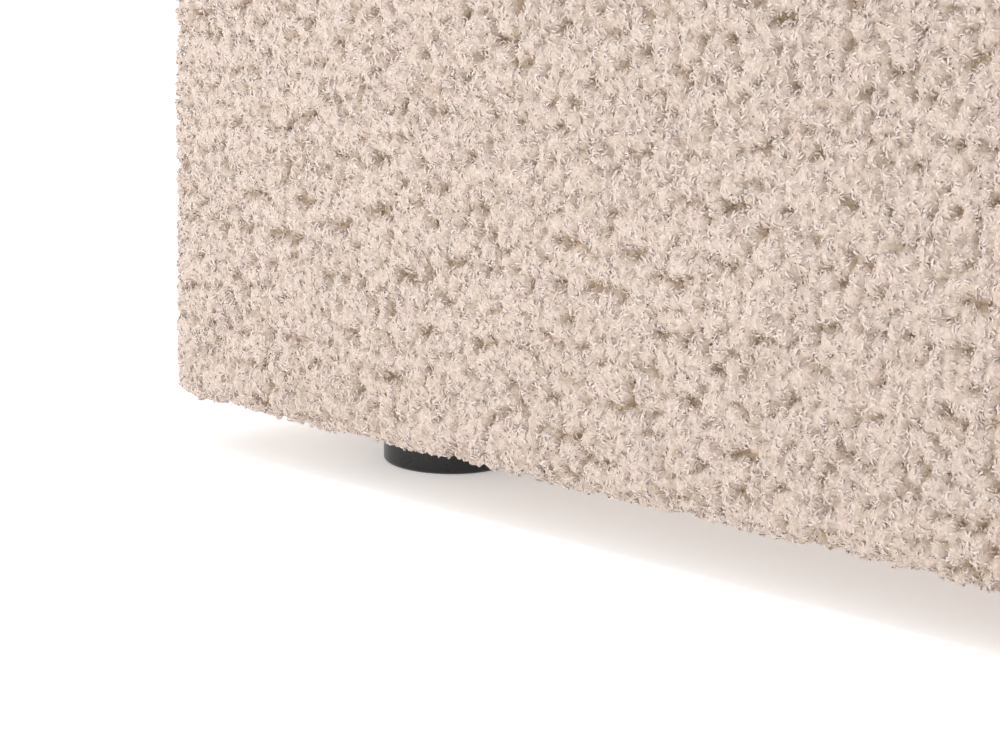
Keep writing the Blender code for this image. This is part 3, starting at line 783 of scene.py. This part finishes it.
def footboard_ground(fabric):
    """The cloth that the loops stand on, with pits where it shows between them."""
    columns = int((fabric.high[0] - fabric.low[0]) / GROUND_SPACING)
    rows = int((fabric.high[1] - fabric.low[1]) / GROUND_SPACING)
    along = np.linspace(fabric.low[0], fabric.high[0], columns)
    up = np.linspace(fabric.low[1], fabric.high[1], rows)
    spots = np.stack(np.meshgrid(along, up), axis=-1).reshape(-1, 2)
    surface, normal, _, height, valley = fabric.place(spots)
    fade = patch_fade(surface, fabric.node)
    height += GROUND_LEVEL * (1 - fade) - UNDERLAY * np.clip(2 * fade - 1, 0, 1)
    height += GROUND_KNOBS * smooth_noise(surface, GROUND_KNOB_CELL, CLUMP_SEED + 2)
    valley *= 1 - fade
    quads = grid_quads(np.arange(rows * columns).reshape(rows, columns).T)
    piece = mesh_from_quads("footboard_boucle_ground", surface + normal * height[:, None], quads)
    return dress(mark_valleys(piece, valley), "boucle_ground")


def footboard_loops(fabric):
    """Curled yarn over the footboard's near corner, thinning out towards the patch's edges."""
    random = np.random.default_rng(LOOP_SEED)
    spots = scattered(fabric.low, fabric.high, LOOP_PITCH, random)
    surface, normal, right, height, valley = fabric.place(spots)
    fade = patch_fade(surface, fabric.node)
    border = random.uniform(*LOOP_BORDER, len(spots))
    kept = (valley < random.uniform(*LOOP_BARE, len(spots))) & (fade < border)
    spots, surface, normal, right, height, valley, fade = (
        a[kept] for a in (spots, surface, normal, right, height, valley, fade))
    height += LOOP_CENTRE * (1 - fade) + random.normal(0, LOOP_SCATTER, len(spots))
    paths = curls(surface + normal * height[:, None], normal, right, random)
    order = np.argsort(spots[:, 0], kind="stable")
    pieces = []
    for number, part in enumerate(np.array_split(order, PATCH_PIECES), start=1):
        points, quads = tubes(paths[part], random.uniform(*YARN_RADIUS, len(part)), YARN_SIDES)
        piece = mesh_from_quads(f"footboard_boucle_loops_{number}", points, quads)
        mark_valleys(piece, np.repeat(valley[part], len(points) // len(part)))
        pieces.append(dress(piece, "boucle_yarn"))
    return pieces


def below_patch(points, node):
    """How far the plain cover is pushed in under the close-up fabric, easing out at its border."""
    fade = patch_fade(points, node)
    return GROUND_LEVEL * (1 - fade) - UNDERLAY * np.clip(1 - 2 * fade, 0, 1)


def finish_cover(cover, *nodes):
    """Joins a padded cover to the bed, in place of its CAD cover and foam."""
    joined(cover, BED, "boucle", *nodes)


def make_footboard():
    """The cover of the footboard, with the close-up fabric over its near corner."""
    node = "footboard_cover"
    cover = upholstered_panel("footboard_boucle", node, 1, SKIN_SPACING)
    points = points_of(cover)
    set_points(cover, points + normals_of(cover) * below_patch(points, node)[:, None])
    fabric = PatchFabric(node)
    for piece in [footboard_ground(fabric), *footboard_loops(fabric)]:
        joined(piece, BED, "boucle")
    finish_cover(cover, node, "footboard_foam")


def make_side_rails():
    """The covers of the two side rails."""
    for side in ("left", "right"):
        node = f"side_rail_{side}_cover"
        cover = upholstered_panel(f"side_rail_{side}_boucle", node, 0, RAIL_SPACING)
        finish_cover(cover, node, f"side_rail_{side}_foam")


def headboard_shape():
    """The headboard's cover before it is padded, with two round top corners and seams on the grid."""
    low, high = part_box("headboard_cover")
    lining_low, lining_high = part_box("headboard_back_lining")
    snaps = ((*SEAM_PLACES, lining_low.x, lining_high.x), (), (lining_low.z, lining_high.z))
    piece = rounded_box("headboard_boucle", low, high, EDGE_RADIUS, HEADBOARD_SPACING, snaps=snaps)
    points = points_of(piece)
    start = np.array([high.x - CORNER_RADIUS, high.z - CORNER_RADIUS])
    inner = np.stack([np.abs(points[:, 0]), points[:, 2]], axis=1) - start
    corner = (inner > 0).all(axis=1)
    shrink = inner[corner].max(axis=1) / np.linalg.norm(inner[corner], axis=1)
    rounded = start + inner[corner] * shrink[:, None]
    points[corner, 0] = np.sign(points[corner, 0]) * rounded[:, 0]
    points[corner, 2] = rounded[:, 1]
    set_points(piece, points)
    return piece


def inside_border(points, low, high):
    """How far points lie inside a rectangle in the xz plane, negative outside it."""
    x, z = points[:, 0], points[:, 2]
    return np.minimum.reduce([x - low.x, high.x - x, z - low.z, high.z - z])


def front_of_headboard(points):
    """1 on the padded front away from its seams and edges, 0 elsewhere."""
    low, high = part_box("headboard_cover")
    from_edge = inside_border(points, low, high)
    from_seam = np.minimum.reduce([np.abs(points[:, 0] - place) for place in SEAM_PLACES])
    facing = points[:, 1] < low.y + EDGE_RADIUS * 0.5
    return facing * np.clip(np.minimum(from_edge / EDGE_RADIUS - 1, from_seam / EDGE_RADIUS), 0, 1)


def inflated(piece, free):
    """Swells a cover where it is free, by air pressure in the cloth simulation."""
    scene = bpy.context.scene
    group = piece.vertex_groups.new(name="held")
    held = np.flatnonzero(free < 0.5)
    group.add([int(k) for k in held], 1.0, "REPLACE")
    cloth = piece.modifiers.new("cloth", "CLOTH")
    settings = cloth.settings
    settings.vertex_group_mass = "held"
    settings.use_pressure = True
    settings.uniform_pressure_force = PAD_PRESSURE
    settings.effector_weights.gravity = 0
    settings.quality = 4
    settings.tension_stiffness = FABRIC_STRETCH
    settings.compression_stiffness = FABRIC_STRETCH
    settings.bending_stiffness = FABRIC_BENDING
    cloth.collision_settings.use_collision = False
    for moment in range(1, PAD_FRAMES + 1):
        scene.frame_set(moment)
    swollen = points_of(piece.evaluated_get(bpy.context.evaluated_depsgraph_get()))
    piece.modifiers.remove(cloth)
    piece.vertex_groups.remove(group)
    scene.frame_set(1)
    start = points_of(piece)
    shift = swollen - start
    shift *= PAD_CROWN / np.linalg.norm(shift, axis=1).max()
    set_points(piece, start + shift)


def subdivided(piece):
    """Adds one level of subdivision and keeps it."""
    modifier = piece.modifiers.new("finer", "SUBSURF")
    modifier.levels = modifier.render_levels = 1
    shown = piece.evaluated_get(bpy.context.evaluated_depsgraph_get())
    finer = bpy.data.meshes.new_from_object(shown)
    piece.modifiers.remove(modifier)
    piece.data = finer
    finer.shade_smooth()


def sunk_for_lining(points):
    """How deep the back lies under its lining, easing out just beyond the lining's edge."""
    low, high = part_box("headboard_back_lining")
    back = points[:, 1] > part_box("headboard_cover")[1].y - EDGE_RADIUS / 2
    return BACK_RECESS * np.clip(1 + inside_border(points, low, high) / BACK_EDGE, 0, 1) * back


def sunk_for_seams(points):
    """How deep the sewn seams pull the front in, less so where the frame is close behind it."""
    sunk = np.zeros(len(points))
    for place in SEAM_PLACES:
        sunk = np.maximum(sunk, np.exp(-((points[:, 0] - place) / SEAM_WIDTH) ** 2))
    front = points[:, 1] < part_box("headboard_cover")[0].y + EDGE_RADIUS
    above_frame = np.clip((points[:, 2] - SEAM_END) / SEAM_FADE, SEAM_SHALLOW, 1)
    return SEAM_DEPTH * sunk * front * above_frame


def make_headboard():
    """A front of three padded panels between sewn seams, wrapped round the frame to the back."""
    cover = headboard_shape()
    free = front_of_headboard(points_of(cover))
    inflated(cover, free)
    subdivided(cover)
    points = points_of(cover)
    points[:, 1] += sunk_for_seams(points) - sunk_for_lining(points)
    set_points(cover, points)
    roughened(cover, HEADBOARD_CLUMP_HEIGHT)
    dress(cover, "boucle")
    finish_cover(cover, "headboard_cover", "headboard_foam")


# ---- back lining

def border_places(low, high, inset, pitch):
    """Places and directions round a rectangle in the xz plane, evenly spaced along each side."""
    left, right, bottom, top = low.x + inset, high.x - inset, low.z + inset, high.z - inset
    corners = np.array([(left, bottom), (right, bottom), (right, top), (left, top)])
    places = []
    for start, end in zip(corners, np.roll(corners, -1, axis=0)):
        length = np.linalg.norm(end - start)
        count = round(length / pitch)
        for k in range(count):
            places.append((start + (end - start) * (k + 0.5) / count, (end - start) / length))
    return places


def lining_cloth(low, high):
    """Thin cloth with a little slack in the middle and small folds that run in from the staples."""
    columns = int((high.x - low.x) / LINING_SPACING)
    rows = int((high.z - low.z) / LINING_SPACING)
    across, up = np.meshgrid(np.linspace(low.x, high.x, columns), np.linspace(low.z, high.z, rows))
    points = np.stack([across.ravel(), np.zeros(across.size), up.ravel()], axis=1)
    edge = inside_border(points, low, high)
    from_side = np.minimum(points[:, 0] - low.x, high.x - points[:, 0])
    from_end = np.minimum(points[:, 2] - low.z, high.z - points[:, 2])
    along = np.where(from_side < from_end, points[:, 2] - low.z, points[:, 0] - low.x)
    pleat = np.cos(2 * math.pi * along / STAPLE_PITCH) * np.exp(-edge / PLEAT_LENGTH)
    slack = smooth_noise(points, SLACK_CELL, SLACK_SEED) * np.clip(edge / SLACK_BORDER, 0, 1)
    points[:, 1] = high.y - LINING_DEPTH + LINING_SLACK * slack - PLEAT_HEIGHT * pleat
    quads = grid_quads(np.arange(rows * columns).reshape(rows, columns))
    return mesh_from_quads("headboard_back_lining_cloth", points, quads)


def staple_path(middle, run):
    """The bent wire of one staple: a leg, the crown with its two rounded corners, and a leg."""
    leg = np.array([0.0, -STAPLE_LEG, 0.0])
    corner = np.array([0.0, -STAPLE_CORNER, 0.0])
    half = STAPLE_CROWN / 2 * run
    return [middle - half + leg, middle - half + corner, middle - 0.8 * half,
            middle + 0.8 * half, middle + half + corner, middle + half + leg]


def make_back_lining():
    """Black non-woven cloth stapled over the headboard's back."""
    low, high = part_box("headboard_back_lining")
    cloth = dress(lining_cloth(low, high), "back_lining")
    joined(cloth, BED, "back_lining", "headboard_back_lining")
    paths = []
    for place, way in border_places(low, high, STAPLE_INSET, STAPLE_PITCH):
        middle = np.array([place[0], high.y + STAPLE_STANDING, place[1]])
        paths.append(staple_path(middle, np.array([way[0], 0.0, way[1]])))
    points, quads = tubes(np.array(paths), np.full(len(paths), STAPLE_RADIUS), STAPLE_SIDES)
    staples = dress(mesh_from_quads("headboard_staples", points, quads), "zinc_steel")
    joined(staples, BED, "zinc_steel")


# ---- feet, legs and fittings

def fitting(name, parts, material, body, *nodes):
    """A hard piece made from (points, faces, matrix) parts, joined to a body."""
    piece = dress(mesh_from_parts(name, parts), material)
    joined(piece, body, material, *nodes)


def screw_head(radius, height, socket, shape, depth):
    """A domed screw head on the xy plane with a hexagonal or cross-shaped socket."""
    dome = [(radius, 0.0), (radius, height * 0.35)]
    dome += [(radius * (1 - 0.55 * s ** 2), height * (0.35 + 0.65 * math.sin(s * math.pi / 2)))
             for s in (0.25, 0.5, 0.75, 1.0)]
    rim = len(dome)
    profile = dome + [(socket * 1.12, height), (socket, height - 0.0002)]
    profile += [(socket * 0.96, height - depth)]

    def waves(ring, reach, _, angle):
        if ring < rim:
            return reach
        if shape == HEXAGON:
            part = (angle + math.pi / 6) % (math.pi / 3) - math.pi / 6
            return reach * 0.9 / math.cos(part)
        return reach * (0.34 + 0.66 * abs(math.cos(2 * angle)) ** 6)

    return turned(profile, 48, waves)


def make_foot(node):
    """A moulded disc foot with a rounded rim, a little draft and a screw sunk in its underside."""
    low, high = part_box(node)
    radius, height = (high.x - low.x) / 2, high.z - low.z
    centre = Matrix.Translation(((low.x + high.x) / 2, (low.y + high.y) / 2, low.z))
    profile = [(WELL_RADIUS * 0.5, WELL_DEPTH), (WELL_RADIUS, WELL_DEPTH)]
    profile += [(WELL_RADIUS, WELL_CHAMFER), (WELL_RADIUS + WELL_CHAMFER, 0)]
    profile += rounded_corner(radius - FOOT_FILLET, FOOT_FILLET, FOOT_FILLET, -90, 0, 7)
    profile += [(radius - 0.00005, height * 0.5), (radius - 0.0002, height - 0.0012)]
    profile += rounded_corner(radius - 0.0010, height - 0.0008, 0.0008, 0, 90, 4)
    points, faces = turned(profile, 96)
    fitting(f"{node}_disc", [(points, faces, centre)], "black_plastic", BED, node)
    head = screw_head(*FOOT_SCREW)
    flipped = centre @ Matrix.Translation((0, 0, WELL_DEPTH - 0.0001)) @ UPSIDE_DOWN
    fitting(f"{node}_screw", [(*head, flipped)], "zinc_steel", BED)


def leg_profile(bottom, top, flange):
    """Half of a leg's outline: the bore, the round rim, the tube and the flange it curves out to."""
    plate = top - LEG_FLANGE
    profile = [(LEG_BORE, LEG_BORE_TOP), (LEG_BORE, bottom + 0.001), (LEG_BORE + 0.001, bottom)]
    profile += [(LEG_RADIUS - LEG_RIM, bottom)]
    profile += rounded_corner(LEG_RADIUS - LEG_RIM, bottom + LEG_RIM, LEG_RIM, -90, 0, 4)
    profile += [(LEG_RADIUS, bottom + 0.005), (LEG_RADIUS, plate - LEG_SWEEP)]
    profile += [(LEG_RADIUS + LEG_SWEEP * (1 - math.cos(a)), plate + LEG_SWEEP * (math.sin(a) - 1))
                for a in np.radians((20, 40, 60, 80, 90))]
    profile += [(flange - 0.001, plate), (flange, plate + 0.001)]
    return profile + [(flange, top - 0.0005), (flange - 0.0005, top)]


def make_support_leg(number):
    """A ribbed plastic leg under the centre beam, with its threaded levelling glide."""
    node = f"support_leg_{number}"
    low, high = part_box(node)
    middle = Matrix.Translation((0.0, (low.y + high.y) / 2, 0.0))
    flange = (high.x - low.x) / 2
    plate = high.z - LEG_FLANGE

    def ribs(_, reach, height, angle):
        outside = LEG_BORE + 0.002 < reach < LEG_RADIUS + 0.0045
        on_tube = outside and low.z + 0.004 < height < plate - 0.001
        return reach - (RIB_DEPTH * (0.5 + 0.5 * math.cos(RIB_COUNT * angle)) if on_tube else 0.0)

    parts = [(*turned(leg_profile(low.z, high.z, flange), 96, ribs), middle)]
    fitting(f"{node}_tube", parts, "black_plastic", BED, node)
    head = screw_head(*LEG_SCREW)
    heads = []
    for k in range(SCREWS_PER_LEG):
        spin = Matrix.Rotation(math.radians(90 + 360 / SCREWS_PER_LEG * k), 4, "Z")
        place = spin @ Matrix.Translation((LEG_SCREW_CIRCLE, 0, plate)) @ UPSIDE_DOWN
        heads.append((*head, middle @ place))
    fitting(f"{node}_screws", heads, "zinc_steel", BED)
    make_glide(number, middle)


def make_glide(number, middle):
    """A levelling glide: a moulded disc with a gripping collar and a threaded stud."""
    node = f"support_glide_{number}"
    low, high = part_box(node)
    disc = (high.x - low.x) / 2
    rim = disc - GLIDE_ROUND
    profile = [(disc - 0.004, 0.0)]
    profile += rounded_corner(rim, GLIDE_ROUND, GLIDE_ROUND, -90, 0, 5)
    profile += [(disc, GLIDE_DISC - GLIDE_ROUND)]
    profile += rounded_corner(rim, GLIDE_DISC - GLIDE_ROUND, GLIDE_ROUND, 0, 80, 4)
    profile += [(GLIDE_COLLAR + 0.002, GLIDE_DISC + 0.0004), (GLIDE_COLLAR, GLIDE_DISC + 0.0012),
                (GLIDE_COLLAR, GLIDE_COLLAR_TOP - 0.0008), (GLIDE_COLLAR - 0.0008, GLIDE_COLLAR_TOP)]
    first_thread = len(profile)
    step = THREAD_PITCH / 6
    rings = int((high.z - GLIDE_COLLAR_TOP - 0.002) / THREAD_PITCH * 6)
    profile += [(STUD_RADIUS - THREAD_DEPTH, GLIDE_COLLAR_TOP + k * step) for k in range(rings)]
    profile += [(STUD_RADIUS - 0.0015, high.z - 0.0002), (STUD_RADIUS - 0.0025, high.z)]

    def shape(ring, reach, height, angle):
        if ring < first_thread - 4:
            return reach
        if ring < first_thread:
            return reach * (1 + 0.04 * math.cos(12 * angle))
        phase = (height / THREAD_PITCH - angle / (2 * math.pi)) % 1.0
        return reach + THREAD_DEPTH * (1 - abs(2 * phase - 1)) if ring < len(profile) - 2 else reach

    points, faces = turned(profile, 24, shape)
    parts = [(points, faces, middle)]
    fitting(f"{node}_stud", parts, "black_plastic", f"glide_{number}", node)


def make_bolt(node):
    """A button-head bolt with a hexagonal socket, in place of a corner bracket's plain bolt."""
    low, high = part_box(node)
    towards_foot = (low.y + high.y) < 0
    radius = (high.x - low.x) / 2
    seat = high.y - BOLT_HEAD if towards_foot else low.y + BOLT_HEAD
    turn = Matrix.Rotation(math.radians(-90 if towards_foot else 90), 4, "X")
    place = Matrix.Translation(((low.x + high.x) / 2, seat, (low.z + high.z) / 2)) @ turn
    head = screw_head(radius, BOLT_HEAD, radius * 0.42, HEXAGON, BOLT_HEAD * 0.6)
    tip = BOLT_HEAD - (high.y - low.y)
    shank = turned([(BOLT_RADIUS * 0.8, tip), (BOLT_RADIUS, tip + 0.001), (BOLT_RADIUS, 0.0005)], 24)
    fitting(f"{node}_button", [(*head, place), (*shank, place)], "zinc_steel", BED, node)


def make_slat_screws(number):
    """Countersunk screws that hold one slat to the ledges, one at each end."""
    low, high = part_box(f"slat_{number:02d}")
    head = screw_head(*SLAT_SCREW)
    parts = []
    for side in (-1, 1):
        place = Matrix.Translation((side * SLAT_SCREW_X, (low.y + high.y) / 2, high.z - 0.0001))
        parts.append((*head, place @ Matrix.Rotation(0.7 * number + side, 4, "Z")))
    fitting(f"slat_{number:02d}_screws", parts, "zinc_steel", BED)


def make_ledge_screws(side, sign):
    """Pan-head screws along the inner face of a slat ledge."""
    low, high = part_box(f"slat_ledge_{side}")
    face = high.x if sign < 0 else low.x
    head = screw_head(*LEDGE_SCREW)
    parts = []
    for k in range(SCREWS_PER_LEDGE):
        along = low.y + (high.y - low.y) * (k + 0.5) / SCREWS_PER_LEDGE
        place = Matrix.Translation((face, along, (low.z + high.z) / 2 - 0.004))
        parts.append((*head, place @ Matrix.Rotation(math.radians(-90 * sign), 4, "Y")))
    fitting(f"slat_ledge_{side}_screws", parts, "zinc_steel", BED)


def make_fittings():
    """Every foot, bolt, leg and screw."""
    for node in sorted(NODES):
        if node.startswith("foot_"):
            make_foot(node)
        elif node.startswith("bolt_"):
            make_bolt(node)
    for number in (1, 2, 3):
        make_support_leg(number)
    for number in range(1, SLAT_COUNT + 1):
        make_slat_screws(number)
    for side, sign in (("left", -1), ("right", 1)):
        make_ledge_screws(side, sign)


def dress_frame():
    """Better materials for the CAD nodes that stay, with the grain along each timber's length."""
    for name, node in NODES.items():
        low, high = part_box(name)
        size = high - low
        lengthwise = "xyz"[max(range(3), key=lambda axis: size[axis])]
        plain = node.data.materials[0].name.split(".")[0]
        finish = f"{plain}_{lengthwise}" if plain in ("pine", "plywood") else plain
        for slot in node.material_slots:
            slot.material = MATERIALS[finish]


# ---- studio

def make_camera():
    """The camera, where the photograph was taken from."""
    data = bpy.data.cameras.new("camera")
    data.lens = LENS
    data.sensor_width = SENSOR
    data.clip_start = CAMERA_NEAR
    camera = in_scene("camera", data)
    bpy.context.scene.camera = camera
    level = Vector((math.cos(CAMERA_YAW), math.sin(CAMERA_YAW), 0))
    forward = Vector((-math.sin(CAMERA_YAW), math.cos(CAMERA_YAW), 0))
    ahead = math.cos(CAMERA_PITCH) * forward - math.sin(CAMERA_PITCH) * Vector((0, 0, 1))
    above = level.cross(ahead)
    right = math.cos(CAMERA_ROLL) * level + math.sin(CAMERA_ROLL) * above
    up = math.cos(CAMERA_ROLL) * above - math.sin(CAMERA_ROLL) * level
    facing = Matrix((right, up, -ahead)).transposed().to_4x4()
    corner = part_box("footboard_cover")[0]
    foot_of_corner = Vector((corner.x, corner.y, 0))
    camera.matrix_world = Matrix.Translation(foot_of_corner + CAMERA_FROM_CORNER) @ facing


def make_floor():
    """A wide pale floor with a slight glow and faint speckles."""
    half = FLOOR_SIZE / 2
    corners = np.array([(-half, -half, 0), (half, -half, 0), (half, half, 0), (-half, half, 0)])
    floor = mesh_from_quads("floor", corners, np.array([[0, 1, 2, 3]]))
    s = Surface("floor", Emission_Strength=FLOOR_GLOW, Emission_Color=colour(1.0, 1.0, 1.0),
                Specular_IOR_Level=0.1)
    speckle = s.noise(30.0, 3.0)
    tone = s.mix(s.spread(speckle, 0.3, 0.7, 0.0, 0.02), FLOOR_COLOUR, colour(0.8, 0.8, 0.8))
    floor.data.materials.append(s.finish(tone, 0.9, speckle, 0.00005))


def make_world():
    """Even white light from all round, and plain white where the camera sees past the floor."""
    bpy.context.scene.view_settings.view_transform = "Standard"
    world = bpy.data.worlds.new("studio")
    world.use_nodes = True
    tree = world.node_tree
    background = tree.nodes["Background"]
    background.inputs["Color"].default_value = colour(1.0, 1.0, 1.0)
    ray = tree.nodes.new("ShaderNodeLightPath").outputs["Is Camera Ray"]
    strength = tree.nodes.new("ShaderNodeMapRange")
    strength.inputs["To Min"].default_value = WORLD_LIGHT
    strength.inputs["To Max"].default_value = 1.0
    tree.links.new(ray, strength.inputs["Value"])
    tree.links.new(strength.outputs[0], background.inputs["Strength"])
    bpy.context.scene.world = world


def make_lights():
    """The soft lights round the corner that the camera sees."""
    for name, power, size, spread, place, target in LIGHTS:
        light = bpy.data.lights.new(name, "AREA")
        light.energy = power
        light.size = size
        light.spread = math.radians(spread)
        lamp = in_scene(name, light)
        lamp.location = place
        lamp.rotation_mode = "QUATERNION"
        lamp.rotation_quaternion = (target - place).to_track_quat("-Z", "Y")


make_floor()
make_world()
make_lights()
make_camera()
make_footboard()
make_side_rails()
make_headboard()
make_back_lining()
make_fittings()
dress_frame()
